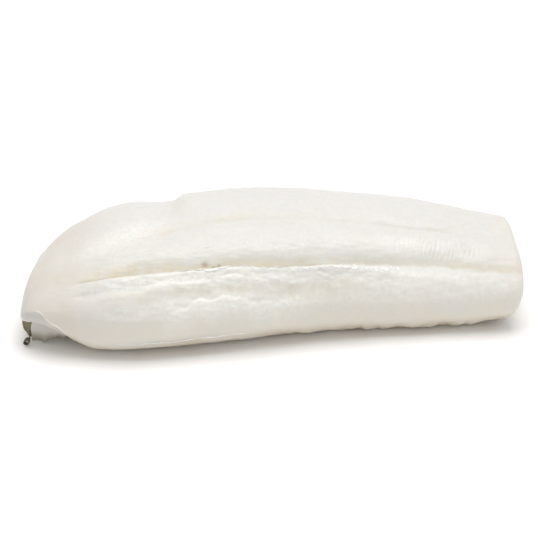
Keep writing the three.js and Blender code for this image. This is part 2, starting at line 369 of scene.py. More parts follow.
def fine_relief(x, turn, points):
    """What the solid under it leaves out: torn edges, folds, pits, flake lines and lumps."""
    main = past_torn_seam(x, turn)
    form = 0
    for i, (size, pitch, stretch) in enumerate(LUMPS):
        form = form + size * noise(points * [stretch, 1, 1], pitch, 10 + i)
    ragged_lip = 0.35 * wander(x, 7, 3) + 0.2 * wander(x, 2.2, 4)
    form += ragged_lip * between(x, *LIP["span"]) * bump(main + LIP["away"], LIP["width"])
    form += TORN_EDGE["height"] * torn_share(x, main)

    roll = (turn - FOOT_ROLL["turn"] - FOOT_WAVE * wander(x, 7, 3)) / FOOT_ROLL["width"]
    rolled = bump(roll, 1) - 0.8 * bump(roll + 2.4, 1.2)
    form += FOOT_ROLL["height"] * between(x, *FOOT_ROLL["span"]) * rolled
    notches = np.abs(noise(points * [1, 0.2, 0.2], FOOT_FRAY["pitch"], 6))
    ragged = notches - 0.35 + 0.3 * noise(points, 2.6, 7)
    frayed = FOOT_FRAY["size"] * ragged * between(turn, *FOOT_FRAY["turns"])
    form += frayed * between(x, *FOOT_FRAY["span"])

    for i, (size, pitch, lean, span, past) in enumerate(FLAKE_LINES):
        phase = (x - lean * main + 1.4 * noise(points, 7, 30 + i)) / pitch
        broken = 0.5 + 0.7 * noise(points * [1, 0.5, 0.5], 4, 40 + i)
        form += size * np.sin(2 * np.pi * phase) * broken * between(x, *span) * between(main, *past)

    for start_x, start_past, end_x, end_past in WISPS:
        share = np.clip((x - start_x) / (end_x - start_x), 0, 1)
        along_it = x - start_x - share * (end_x - start_x)
        off_it = main - start_past - share * (end_past - start_past) + 0.5 * wander(x, 3, 50)
        away = np.hypot(along_it, off_it)
        form += WISP_HEIGHT * bump(away, WISP_WIDTH) * np.sin(np.pi * np.clip(share, 0.15, 0.85))

    for pit_x, pit_past, radius, depth in PITS:
        form -= depth * bump(np.hypot(x - pit_x, main - pit_past), radius)
    crease = bump(main + SEAM_CREASE["away"] + 0.3 * wander(x, 5, 51), SEAM_CREASE["width"])
    form -= SEAM_CREASE["depth"] * crease * between(x, *SEAM_CREASE["span"])
    upper = past_seam(UPPER_SEAM, x, turn) + 0.5 * wander(x, 9, 66)
    thin = bump(upper, UPPER_CREASE["width"]) * between(x, *UPPER_CREASE["span"])
    form -= UPPER_CREASE["depth"] * thin
    for i, (size, pitch, past, width) in enumerate(TORN_FIBRES):
        fibres = noise(points * [0.45, 1, 1], pitch, 55 + i)
        fibres = fibres + 0.6 * noise(points * [0.6, 1, 1], pitch / 2, 57 + i)
        form += size * fibres * bump(main - past, width) * between(x, *FIBRE_SPAN)
    bead = bump(turn - film_edge(x), FILM_EDGE["width"]) * between(x, -131, 4, FILM_EDGE["to"], 5)
    form += FILM_EDGE["height"] * bead
    return form * smooth((x - LEFT) / TIP_CALM)


# The cut end: how far its far side and its foot are cut back, the share of its height that is
# foot, how far the near side swells out over the seam and at which share of the height, the run
# over which the flesh turns to that cut, its rounded edge, and how far its face bulges round a core
CUT_SLANT = 6.5
CUT_UNDER = 4.4
CUT_FOOT = 0.6
CUT_SWELL = {"by": 1.5, "level": 0.78, "width": 0.17}
CUT_TURN_RUN = 90
CUT_ROUND = 4
CUT_BULGE = 1.6
CUT_CORE = 0.42

# The layers of muscle that show on the cut face: how many, how deep the lines between them are,
# how much they waver, and from where to where they show on the way out from the core
LAYERS = {"count": 6.5, "depth": 0.5, "waver": 0.35, "reach": (0.12, 0.15, 0.97, 0.1)}

# The grid of the surface: rings over the rounded end, the body, the cut edge and its face, and
# the steps of a ring between its knots at the underside, the foot, the seams and the far side
NOSE_RINGS = 90
BODY_RINGS = 240
CUT_RINGS = 8
FACE_RINGS = 42
NOSE_RUN = 90
RING_STEPS = [22, 66, 24, 20, 30, 20, 50, 24]


def ring_turns(x):
    """The turns of one ring: even steps between knots that follow the seams."""
    main = along(MAIN_SEAM["turns"], station(x))
    upper = along(UPPER_SEAM["turns"], station(x))
    knots = [-90, -25, main - 9, main, main + 9, upper - 7, upper + 7, 180, 270]
    spans = []
    for start, end, steps in zip(knots, knots[1:], RING_STEPS):
        spans.append(np.linspace(start, end, steps, endpoint=False))
    return np.concatenate(spans)


def slant(x, y, z):
    """How far a point is drawn back along the loin by the slanted cut."""
    near, far, top, _, _ = outline(x)
    turned = smooth(1 - (RIGHT - x) / CUT_TURN_RUN)
    across = np.clip((y - near) / (far - near), 0, 1)
    swell = CUT_SWELL["by"] * bump(z / top - CUT_SWELL["level"], CUT_SWELL["width"]) * (1 - across)
    return turned * (CUT_SLANT * across + CUT_UNDER * (1 - smooth(z / (CUT_FOOT * top))) - swell)


def flesh_points(x, turn, inset=0):
    """Points of the finished surface, drawn in by an inset where the cut edge is rounded."""
    y, z = section(x, turn)
    out_y, out_z = outward(x, turn)
    proud = relief(x, turn) + fine_relief(x, turn, np.stack([x, y, z], -1)) - inset
    y = y + out_y * proud
    z = np.maximum(z + out_z * proud, 0)
    return np.stack([x - slant(x, y, z), y, z], -1)


nose_angles = np.pi / 2 * np.arange(1, NOSE_RINGS + 1) / NOSE_RINGS
nose_x = LEFT + NOSE_RUN * (1 - np.cos(nose_angles))
body_end = RIGHT - CUT_BULGE - CUT_ROUND
body_x = np.linspace(LEFT + NOSE_RUN, body_end, BODY_RINGS + 1)[1:]
cut_angles = np.pi / 2 * np.arange(1, CUT_RINGS + 1) / CUT_RINGS
cut_x = body_end + CUT_ROUND * np.sin(cut_angles)
ring_x = np.concatenate([nose_x, body_x, cut_x])
ring_inset = np.concatenate([0 * nose_x, 0 * body_x, CUT_ROUND * (1 - np.cos(cut_angles))])
turns = np.array([ring_turns(x) for x in ring_x])
grid_x = np.repeat(ring_x[:, None], turns.shape[1], 1)
body_rings = flesh_points(grid_x, turns, ring_inset[:, None])

near, far, top, _, _ = outline(np.array(float(RIGHT)))
middle = (near + far) / 2
core_height = CUT_CORE * top
core = np.array([RIGHT - slant(np.array(float(RIGHT)), middle, core_height), middle, core_height])
face_share = 1 - np.arange(1, FACE_RINGS)[:, None] / FACE_RINGS
face_rings = core + face_share[..., None] * (body_rings[-1] - core)
face_x = np.full(face_rings.shape[:2], float(RIGHT))
drawn_back = slant(face_x, face_rings[..., 1], face_rings[..., 2])
face_plane = face_rings * [0, 1, 1]
wavered = LAYERS["count"] * face_share + LAYERS["waver"] * noise(face_plane, 11, 97)
layer_line = (0.5 + 0.5 * np.cos(2 * np.pi * wavered)) ** 5 * between(face_share, *LAYERS["reach"])
layer_line = layer_line * np.clip(0.6 + 0.8 * noise(face_plane, 14, 98), 0, 1)
face_rings[..., 0] = RIGHT - drawn_back - CUT_BULGE * face_share**2 - LAYERS["depth"] * layer_line
rings = np.concatenate([body_rings, face_rings])

# The record's box says where the middle of the loin lies, because its own frame starts there
loin_low, loin_high = (np.array(corner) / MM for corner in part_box("loin"))
sideways = (loin_low[1] + loin_high[1] - rings[..., 1].min() - rings[..., 1].max()) / 2
shift = np.array([loin_low[0] - LEFT, sideways, 0])


def solid_mesh(name, rings, start, end):
    """A closed mesh through rings of equal length, with a point at each end."""
    count, size = rings.shape[:2]
    points = np.concatenate([[start], rings.reshape(-1, 3), [end]])
    here = 1 + np.arange(count - 1)[:, None] * size + np.arange(size)
    beside = 1 + np.arange(count - 1)[:, None] * size + (np.arange(size) + 1) % size
    quads = np.stack([here, here + size, beside + size, beside], -1).reshape(-1, 4)
    first = 1 + np.arange(size)
    last = first + (count - 1) * size
    faces = quads.tolist()
    faces += [[0, int(a), int(b)] for a, b in zip(first, np.roll(first, -1))]
    faces += [[len(points) - 1, int(b), int(a)] for a, b in zip(last, np.roll(last, -1))]
    mesh = bpy.data.meshes.new(name)
    mesh.from_pydata((points + shift) * MM, [], faces)
    mesh.shade_smooth()
    return mesh


loin_mesh = solid_mesh("loin_flesh", rings, [LEFT, TIP_Y, TIP_Z], core)
loin = bpy.data.objects.new("loin_flesh", loin_mesh)
bpy.context.scene.collection.objects.link(loin)

# Where the flesh changes colour, and where light and shade are painted on it, one value for each
# point of the mesh. These bands follow the main seam: the distance past it, how wide they are, and
# where along the loin they show.
BANDS = {
    "slope_start": (4.5, 4.5, (-108, 24, -48, 30)),
    "crest": (13, 5, (-112, 30, 120, 50)),
    "shoulder": (-7, 4.6, (-112, 25, 20, 50)),
    "far_shoulder": (-8, 6, (5, 40, 150, 20)),
    "recess_shade": (-14.5, 5, (-105, 25, 70, 40)),
}

# The golden painted shade in the main seam and up its far slope, which stands for the shade in the
# groove: its strength and reach close to it and up the slope, where it shows, where it is weaker,
# and how much stronger it is at the rounded end
SEAM_SHADE = {"close": (0.6, 3.2), "slope": (0.35, 7), "span": (-122, 26, 190, 90)}
SEAM_SHADE_WEAKER = {"by": 0.45, "span": (-5, 35, 130, 40)}
SEAM_SHADE_STRONGER = {"by": 0.4, "before": -85, "run": 40}

# The fainter painted shade along the upper seam: its least strength, what two stretches of the loin
# add to it, and where it shows
UPPER_SHADE_LEAST = 0.14
UPPER_SHADE_MORE = [(0.32, (-84, 16, -42, 14)), (0.26, (-46, 8, 10, 34))]
UPPER_SHADE_SPAN = (-105, 25, 60, 60)

all_turns = np.concatenate([turns, np.repeat(turns[-1:], FACE_RINGS - 1, 0)])
all_x = np.concatenate([grid_x, np.full((FACE_RINGS - 1, turns.shape[1]), float(RIGHT))])
main = past_torn_seam(all_x, all_turns)
upper = past_seam(UPPER_SEAM, all_x, all_turns)
band = {}
for name, (past, width, span) in BANDS.items():
    band[name] = bump(main - past, width) * between(all_x, *span)

over = np.maximum(main - 1.0, 0)
seam_shade = SEAM_SHADE["close"][0] * bump(over, SEAM_SHADE["close"][1])
seam_shade = seam_shade + SEAM_SHADE["slope"][0] * np.exp(-over / SEAM_SHADE["slope"][1])
seam_shade = smooth((main + 1.6) / 1.4) * seam_shade * between(all_x, *SEAM_SHADE["span"])
seam_shade = seam_shade * (1 - SEAM_SHADE_WEAKER["by"] * between(all_x, *SEAM_SHADE_WEAKER["span"]))
at_end = 1 - smooth((all_x - SEAM_SHADE_STRONGER["before"]) / SEAM_SHADE_STRONGER["run"])
seam_shade = seam_shade * (1 + SEAM_SHADE_STRONGER["by"] * at_end) + 0.42 * band["slope_start"]
upper_seam_shade = UPPER_SHADE_LEAST + sum(more * between(all_x, *span) for more, span in UPPER_SHADE_MORE)
upper_seam_shade = upper_seam_shade * bump(upper - 0.3, 4.2) * between(all_x, *UPPER_SHADE_SPAN)
upper_seam_shade = upper_seam_shade + 0.22 * bump(upper, 1.8) * between(all_x, *UPPER_CREASE["span"])
# Painted shade in the crease that runs down from the step on the back
crease_shade = 0.3 * bump(all_x - CREASE["x"], CREASE["width"])
crease_shade = crease_shade * between(all_turns, *CREASE["turns"])

# The clear film at the rounded end and under the edge of the flesh, and painted shade that darkens
# the far side of the back
softer_before, softer_run, softer_by = FILM_EDGE["softer"]
film_soft = FILM_EDGE["soft"] + softer_by * smooth((softer_before - all_x) / softer_run)
under_edge = smooth((film_edge(all_x) - all_turns) / film_soft) * smooth((all_turns + 90) / 20)
under_edge = under_edge * (1 - smooth((all_x - FILM_EDGE["to"] + 4) / 6))
at_tip = 0.6 * (1 - smooth((all_x - LEFT - 0.5) / 7))
far_rim_shade = 0.3 * smooth((all_turns - 118) / 30) * (1 - smooth((all_turns - 175) / 30))

# The milky first lobe, a painted highlight along the crest over the seam, and painted light that
# makes the middle of the near side lighter; then painted shade low on the near side, with a greyer
# band under the seam towards the cut end
side = bump(all_turns - 20, 17) * between(all_x, -100, 60, 150, 20)
side = side * (1.3 + between(all_x, 35, 25, 105, 30))
crest_highlight = 0.6 * band["crest"] * between(all_x, 45, 25, 125, 20)
lobe = bump(main - 27 - 0.25 * (all_x + 90), 9) * between(all_x, -128, 20, -50, 30)
low_side_shade = 0.3 * smooth((-12 - all_turns) / 20) * smooth((all_turns + 60) / 20)
low_side_shade = low_side_shade * between(all_x, -100, 40, 150, 20)

# Painted shade along the edge of the cut end, the face with its lines, the flank outside it warmer
# towards the bottom, painted shade on the foot and the underside, and dark brown painted shade
# under the underside where it is lifted at the rounded end
cut_edge_shade = 0.6 * smooth((all_x - 122) / 18)
on_face = np.concatenate([np.zeros(turns.shape), layer_line])
on_side = np.concatenate([np.ones((len(ring_x), 1)), smooth((face_share - 0.8) / 0.2)])
flank = np.clip(smooth((30 - all_turns) / 44) + cut_edge_shade, 0, 1)
lifted_under_shade = (1 - smooth((all_x - 60) / 50)) * smooth((-44 - all_turns) / 8)
torn = torn_share(all_x, main)
wet = 0.9 * band["shoulder"] + 0.25 * band["crest"] + 0.2 * lobe + 0.8 * torn
in_pits = sum(bump(np.hypot(all_x - x, main - past), radius) for x, past, radius, _ in PITS)
masks = {
    "seam": np.clip(on_side * (seam_shade + upper_seam_shade + crease_shade) + 0.5 * on_face, 0, 1),
    "flank": flank * smooth((all_turns + 90) / 12),
    "foot": on_side * (smooth((-10 - all_turns) / 26) + smooth((all_turns - 215) / 25)),
    "under": on_side * lifted_under_shade * (1 - 0.6 * smooth((-62 - all_turns) / 24)),
    "nose": 1 - smooth((all_x - LEFT - 16) / 42),
    "film": np.clip(at_tip + under_edge + far_rim_shade, 0, 1),
    "grey_and_low_shade": np.clip(low_side_shade + 0.35 * band["far_shoulder"], 0, 1),
    # Painted shade in the recess under the shoulder
    "recess_shade": band["recess_shade"],
    # The torn edge and the shoulder are whiter torn flesh, and this also paints a highlight along
    # them
    "torn": np.clip(torn + band["shoulder"], 0, 1),
    "milky_and_painted_light": np.clip(lobe + side + crest_highlight, 0, 1),
    "wet": np.clip(wet, 0, 1),
    # A painted highlight along the edge of the flesh at the rounded end
    "bead": bump(all_turns - film_edge(all_x) - 1.2, 1.3) * between(all_x, -133, 3, -113, 6),
    "pit": np.clip(in_pits, 0, 1),
}
for name, values in masks.items():
    attribute = loin_mesh.attributes.new(name, "FLOAT", "POINT")
    padded = np.concatenate([[values[0].mean()], values.ravel(), [values[-1].mean()]])
    attribute.data.foreach_set("value", padded.astype(np.float32))


def colour(code):
    """An sRGB hex colour as linear light."""
    parts = np.array([int(code[i : i + 2], 16) / 255 for i in (1, 3, 5)])
    linear = np.where(parts <= 0.04045, parts / 12.92, ((parts + 0.055) / 1.055) ** 2.4)
    return (*linear.tolist(), 1)


def add(tree, kind, settings, inputs):
    """Add a node with its settings, and set or link its inputs, named or counted."""
    made = tree.nodes.new(kind)
    for name, value in settings.items():
        setattr(made, name, value)
    for name, value in inputs.items():
        if isinstance(value, bpy.types.NodeSocket):
            tree.links.new(value, made.inputs[name])
        else:
            made.inputs[name].default_value = value
    return made


def new_material(name):
    material = bpy.data.materials.new(name)
    material.use_nodes = True
    material.node_tree.nodes.clear()
    return material, material.node_tree


# Soaked raw cod: milky white and wet. Light goes a few millimetres into it, so its shade is
# soft and warm, and a film of water gives small sharp glints.
CLEAR = "#d6d4cf"
MILK = "#dad8d4"
cod, tree = new_material("soaked_cod_flesh")
place = add(tree, "ShaderNodeTexCoord", {}, {}).outputs["Object"]

# Patches of the flesh that are more milky or more clear: their size and how sharp they are
PATCHES = {"fine": (2.6, 0.32, 0.68), "small": (7, 0.36, 0.64), "broad": (18, 0.32, 0.58)}
patch = {}
for name, (size, low, high) in PATCHES.items():
    cloud = {"Vector": place, "Scale": 1 / (size * MM), "Detail": 4.0}
    cloud = add(tree, "ShaderNodeTexNoise", {}, cloud)
    limits = {"Value": cloud.outputs["Fac"], "From Min": low, "From Max": high}
    patch[name] = add(tree, "ShaderNodeMapRange", {}, limits).outputs["Result"]

# The tints laid over each other: the mask, the patches that break it up, and the colour. Several
# paint light and shade, not the flesh's own colour: highlights, a lighter near side, and shade in
# the seams, the recess, low down, at the cut end, over the far side and under the loin
TINTS = [
    ("milky_and_painted_light", "fine", "#e8e6e1"),
    ("flank", "broad", "#dcd6cb"),
    ("grey_and_low_shade", "small", "#cdc9c1"),
    ("recess_shade", "small", "#d1cbbf"),
    ("torn", "fine", "#e8e6e0"),
    ("seam", "small", "#d3cab3"),
    ("nose", "broad", "#d3ccc2"),
    ("film", "broad", "#bfbdb8"),
    ("foot", "broad", "#c2b6a1"),
    ("under", "broad", "#8a795d"),
    ("bead", "broad", "#f6f4f0"),
    ("pit", "broad", "#a8946f"),
]
# How much of each tint shows whatever its patches are
TINT_LEAST = 0.4
paint = {0: patch["fine"], 6: colour(CLEAR), 7: colour(MILK)}
paint = add(tree, "ShaderNodeMix", {"data_type": "RGBA"}, paint).outputs[2]
for mask, patches, code in TINTS:
    broken = {"Value": patch[patches], "To Min": TINT_LEAST, "To Max": 1.0}
    share = add(tree, "ShaderNodeMapRange", {}, broken).outputs["Result"]
    spread = add(tree, "ShaderNodeAttribute", {"attribute_name": mask}, {}).outputs["Fac"]
    share = add(tree, "ShaderNodeMath", {"operation": "MULTIPLY"}, {0: share, 1: spread}).outputs[0]
    layer = {0: share, 6: paint, 7: colour(code)}
    paint = add(tree, "ShaderNodeMix", {"data_type": "RGBA"}, layer).outputs[2]

# Fibres lie along the loin, and the grain between them is about as coarse as it can show
wet = add(tree, "ShaderNodeAttribute", {"attribute_name": "wet"}, {}).outputs["Fac"]
stretched = {"Vector": place, "Scale": (0.2, 1, 1)}
stretched = add(tree, "ShaderNodeMapping", {}, stretched).outputs["Vector"]
fibres = {"Vector": stretched, "Scale": 1 / (1.5 * MM), "Detail": 3.0}
fibres = add(tree, "ShaderNodeTexNoise", {}, fibres).outputs["Fac"]
grain = {"Vector": place, "Scale": 1 / (1.2 * MM), "Detail": 3.0}
grain = add(tree, "ShaderNodeTexNoise", {}, grain).outputs["Fac"]
rough = add(tree, "ShaderNodeMath", {"operation": "ADD"}, {0: fibres, 1: grain})
strength = {"Value": wet, "To Min": 0.45, "To Max": 0.9}
strength = add(tree, "ShaderNodeMapRange", {}, strength).outputs["Result"]
skin = add(
    tree,
    "ShaderNodeBump",
    {},
    {"Height": rough.outputs[0], "Strength": strength, "Distance": 0.3 * MM},
).outputs["Normal"]
gloss = {"Value": patch["fine"], "To Min": 0.42, "To Max": 0.58}
water = {"Value": wet, "To Min": 0.15, "To Max": 0.45}
shader = add(
    tree,
    "ShaderNodeBsdfPrincipled",
    {},
    {
        "Base Color": paint,
        "Roughness": add(tree, "ShaderNodeMapRange", {}, gloss).outputs["Result"],
        "IOR": 1.4,
        "Normal": skin,
        "Subsurface Weight": 0.6,
        "Subsurface Radius": (1, 0.8, 0.62),
        "Subsurface Scale": 1.5 * MM,
        "Coat Weight": add(tree, "ShaderNodeMapRange", {}, water).outputs["Result"],
        "Coat Roughness": 0.13,
        "Coat Normal": skin,
    },
)
add(tree, "ShaderNodeOutputMaterial", {}, {"Surface": shader.outputs["BSDF"]})
loin_mesh.materials.append(cod)
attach(loin, "root")
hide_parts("loin")

# The seam film: the thin cream sheet of connective tissue that lies between the two muscle
# blocks. It comes up out of the main seam, folds over its lip and ends torn on the near side.
FILM = {"from": -68, "to": 30, "steps": 330, "across": 9, "thick": 0.2}

# Where it comes out and where it ends on average, as distances past the seam
FILM_PAST = {"inside": -0.8, "outside": -3.1}

# How far it lies over the flesh at least, and how much further at its torn edge
FILM_LIFT = {"least": 0.12, "edge": 0.36}


def flesh_at(x, past, lift):
    """Points a little over the finished flesh, at distances past the main seam."""
    turn = turn_past(MAIN_SEAM, x, past)
    return flesh_points(x, turn, -lift)


def thin_solid(grid, thick):
    """A closed thin sheet round a grid of points: its two faces and the rim between them."""
    down = np.gradient(grid, axis=0)
    across = np.gradient(grid, axis=1)
    out = np.cross(down, across)
    out /= np.maximum(np.linalg.norm(out, axis=-1, keepdims=True), 1e-9)
    half = np.asarray(thick)[..., None] / 2 * out
    rows, columns = grid.shape[:2]
    points = np.concatenate([(grid + half).reshape(-1, 3), (grid - half).reshape(-1, 3)])
    size = rows * columns
    cell = (np.arange(rows - 1)[:, None] * columns + np.arange(columns - 1)).ravel()
    front = np.stack([cell, cell + columns, cell + columns + 1, cell + 1], -1)
    back = np.stack([cell, cell + 1, cell + columns + 1, cell + columns], -1) + size
    top = np.arange(columns)
    side = np.arange(rows) * columns
    bottom = size - columns + top
    rim = np.concatenate([top, side[1:] + columns - 1, bottom[::-1][1:], side[::-1][1:]])
    edge = np.stack([rim[:-1], rim[1:], rim[1:] + size, rim[:-1] + size], -1)
    return points, np.concatenate([front, back, edge])


def join_mesh(name, solids):
    """One mesh of several closed solids."""
    points = []
    faces = []
    count = 0
    for solid_points, solid_faces in solids:
        points.append(solid_points)
        faces += (solid_faces + count).tolist()
        count += len(solid_points)
    mesh = bpy.data.meshes.new(name)
    mesh.from_pydata((np.concatenate(points) + shift) * MM, [], faces)
    mesh.shade_smooth()
    piece = bpy.data.objects.new(name, mesh)
    bpy.context.scene.collection.objects.link(piece)
    return piece


def strip_grid(strip, near_share):
    """The x of each point of a strip along the loin, and its share of the way across."""
    x = np.linspace(strip["from"], strip["to"], strip["steps"])
    share = np.linspace(near_share, 1, strip["across"])
    return np.meshgrid(x, share, indexing="ij")


film_x, film_share = strip_grid(FILM, 0)
film_size = between(film_x, FILM["from"], 30, FILM["to"], 45)
film_size = film_size * (0.75 + 0.45 * wander(film_x, 11, 63))
torn_end = FILM_PAST["outside"] + 1.3 * wander(film_x, 5, 60) + 1.0 * wander(film_x, 1.4, 61)
film_run = np.minimum(torn_end - FILM_PAST["inside"], -0.3)
torn_end = FILM_PAST["inside"] + film_run * (0.3 + 0.7 * film_size)
film_past = FILM_PAST["inside"] + film_share * (torn_end - FILM_PAST["inside"])
film_rise = film_share**2 * (0.6 + 0.6 * wander(film_x, 3, 62)) * film_size
film_lift = FILM_LIFT["least"] + FILM_LIFT["edge"] * film_rise
film_grid = flesh_at(film_x, film_past, film_lift)
film_thick = 0.25 + 0.75 * np.sin(np.pi * np.clip(film_share, 0.05, 0.93))
film_thick = FILM["thick"] * film_thick * (0.3 + 0.7 * film_size)
seam_film = join_mesh("seam_film", [thin_solid(film_grid, film_thick)])

# Wet connective tissue: a cream skin thin enough for light to pass, with a soft shine
TISSUE_CREAM = "#e4e0d9"
TISSUE_WHITE = "#f0efec"
tissue, tree = new_material("connective_tissue")
place = add(tree, "ShaderNodeTexCoord", {}, {}).outputs["Object"]
strands = {"Vector": place, "Scale": (0.3, 1, 1)}
strands = add(tree, "ShaderNodeMapping", {}, strands).outputs["Vector"]
strand = {"Vector": strands, "Scale": 1 / (1.4 * MM), "Detail": 3.0}
strand = add(tree, "ShaderNodeTexNoise", {}, strand)
spots = {"Vector": place, "Scale": 1 / (3 * MM), "Detail": 4.0}
spots = add(tree, "ShaderNodeTexNoise", {}, spots)
paint = {0: spots.outputs["Fac"], 6: colour(TISSUE_CREAM), 7: colour(TISSUE_WHITE)}
paint = add(tree, "ShaderNodeMix", {"data_type": "RGBA"}, paint).outputs[2]
wrinkle = add(
    tree,
    "ShaderNodeBump",
    {},
    {"Height": strand.outputs["Fac"], "Strength": 0.5, "Distance": 0.2 * MM},
).outputs["Normal"]
shader = add(
    tree,
    "ShaderNodeBsdfPrincipled",
    {},
    {
        "Base Color": paint,
        "Roughness": 0.38,
        "IOR": 1.4,
        "Normal": wrinkle,
        "Coat Weight": 0.28,
        "Coat Roughness": 0.12,
    },
)
add(tree, "ShaderNodeOutputMaterial", {}, {"Surface": shader.outputs["BSDF"]})
seam_film.data.materials.append(tissue)
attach(seam_film, "root")

# The shreds: soft white tufts on the lip of the main seam, where the two muscle blocks were
# pulled apart. Each is a small torn leaf of flesh that hangs on at one end.

# They lie in patches: the x where each starts and ends, its distance past the seam, how far it
# spreads to both sides, and how many shreds it has
SHRED_SPOTS = [
    (6, 26, -3.0, 1.0, 14),
    (26, 46, -2.4, 1.6, 60),
    (44, 70, -2.4, 1.6, 60),
]

# Each shred's size, how much it bends, which way it points and how far its end rises, as the
# least and the most, and the grid of its mesh
SHRED = {
    "long": (1.1, 3.0),
    "wide": (0.3, 0.85),
    "thick": 0.25,
    "bend": (-0.8, 0.8),
    "way": (-0.9, 0.5),
    "rise": (0.0, 0.16),
    "steps": 9,
    "across": 5,
}
draw = np.random.default_rng(70)


def shred(x, past, turn_way, rise):
    """One leaf: it starts on the flesh and its free end lifts off it."""
    long = draw.uniform(*SHRED["long"])
    wide = draw.uniform(*SHRED["wide"])
    share = np.linspace(0, 1, SHRED["steps"])[:, None]
    side = np.linspace(-1, 1, SHRED["across"])[None, :]
    width = wide * np.sin(np.pi * np.clip(share, 0.08, 0.93)) ** 0.7
    bend = draw.uniform(*SHRED["bend"]) * share**2
    leaf_x = x + np.cos(turn_way) * long * share - np.sin(turn_way) * (side * width + bend)
    leaf_past = past + np.sin(turn_way) * long * share + np.cos(turn_way) * (side * width + bend)
    lift = 0.1 + rise * share**1.5 - 0.25 * side**2 * share
    grid = flesh_at(leaf_x, leaf_past, lift)
    thick = SHRED["thick"] * np.sin(np.pi * np.clip(0.5 + side / 2, 0.12, 0.88))
    return thin_solid(grid, thick * np.ones_like(share))


shreds = []
for start, end, past, spread, count in SHRED_SPOTS:
    for _ in range(count):
        away = past + draw.uniform(-spread, spread)
        x = draw.uniform(start, end)
        turn_way = draw.uniform(*SHRED["way"])
        shreds.append(shred(x, away, turn_way, draw.uniform(*SHRED["rise"])))
flesh_shreds = join_mesh("flesh_shreds", shreds)
flesh_shreds.data.materials.append(tissue)
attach(flesh_shreds, "root")

# The foot film: a thin bright fold of the outer film, low on the near side, that was rolled up
# when the skin was pulled off. It lies close on the flesh: at which turn, half how wide it is
# and how much that varies, and how far its upper edge lifts
FOOT_FILM = {"from": -88, "to": -14, "steps": 150, "across": 7, "thick": 0.3, "turn": -15.5}
FOOT_HALF = {"wide": 0.7, "varies": 0.5}
FOOT_LIFT = {"least": 0.05, "edge": 0.15}
foot_x, foot_share = strip_grid(FOOT_FILM, -1)
foot_size = between(foot_x, FOOT_FILM["from"], 25, FOOT_FILM["to"], 30)
foot_half = FOOT_HALF["wide"] + FOOT_HALF["varies"] * wander(foot_x, 3, 80)
foot_turn = FOOT_FILM["turn"] + FOOT_WAVE * wander(foot_x, 7, 3) - foot_half * foot_share
foot_lift = FOOT_LIFT["least"] + FOOT_LIFT["edge"] * foot_size * (1 - foot_share) / 2
foot_grid = flesh_points(foot_x, foot_turn, -foot_lift)
foot_thick = FOOT_FILM["thick"] * np.cos(1.35 * foot_share) * (0.2 + 0.8 * foot_size)
foot_film = join_mesh("foot_film", [thin_solid(foot_grid, foot_thick)])
foot_film.data.materials.append(tissue)
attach(foot_film, "root")

# The film fold: where the clear film over the rounded end was pulled off with the skin, its edge
# has rolled up into a thin white bead along the rim, and the scrap of skin hangs from that.
FOLD = {"from": -141.2, "to": -128.5, "steps": 60, "across": 12, "radius": 0.75}

# How far it lies out of the rim and under it, how much it wavers, and how uneven its width is
FOLD_PLACE = {"out": 0.3, "under": 0.35, "waver": 0.3}
FOLD_UNEVEN = 0.3

# How far behind the tip the rim starts
RIM_FROM = 2.5


def rim(x):
    """Where the underside of the rounded end meets its near side."""
    return section(np.maximum(x, LEFT + RIM_FROM), RIM_TURN + 0 * x)


fold_x = np.linspace(FOLD["from"], FOLD["to"], FOLD["steps"])
fold_y, fold_z = rim(fold_x)
fold_size = FOLD["radius"] * between(fold_x, FOLD["from"] - 1, 3, FOLD["to"] + 0.5, 6)
fold_size = fold_size * (1 + FOLD_UNEVEN * wander(fold_x, 1.7, 67))
fold_turn = np.linspace(0, 2 * np.pi, FOLD["across"], endpoint=False)
fold_y = fold_y - FOLD_PLACE["out"] + FOLD_PLACE["waver"] * wander(fold_x, 3, 68)
fold_z = fold_z - FOLD_PLACE["under"]
fold_rings = np.stack(
    [
        np.repeat(fold_x[:, None], FOLD["across"], 1),
        fold_y[:, None] - fold_size[:, None] * np.cos(fold_turn),
        fold_z[:, None] + fold_size[:, None] * np.sin(fold_turn),
    ],
    -1,
)
fold_mesh = solid_mesh("film_fold", fold_rings, fold_rings[0].mean(0), fold_rings[-1].mean(0))
film_fold = bpy.data.objects.new("film_fold", fold_mesh)
bpy.context.scene.collection.objects.link(film_fold)
fold_mesh.materials.append(tissue)
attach(film_fold, "root")

# The scrap of skin: the last of the skin, left hanging under the rounded end. It is a tongue
# of olive skin, torn from a sheet of clear grey film, and its thin tail has curled up.

# The film: where it starts and ends, how thick it is, how far inside the rim it hangs, how far
# it leans inward on its way down, and how thick the bead along its top is
SCRAP = {"from": -136.6, "to": -117, "thick": 0.4, "inset": 0.6, "lean": 1.4, "bead": 0.3}

# How far under the rim it starts, at the film fold and past it, and where that changes
SCRAP_GAP = {"at_fold": 1.0, "past_it": 0.3, "from": -131, "run": 4}

# The height of the film's torn bottom, and the tongue's two edges from its top to its tip
SCRAP_EDGE = [1.9, 2.1, 2.8, 4.4, 6.2, 6.4]
TONGUE = {
    "left": [-141.3, -141.2, -140.9, -139.9, -138.2],
    "right": [-134.6, -134.9, -135.2, -135.4, -135.8],
    "bottom": 5.0,
    "thick": 0.6,
}
SHEET_STEPS = (120, 36)


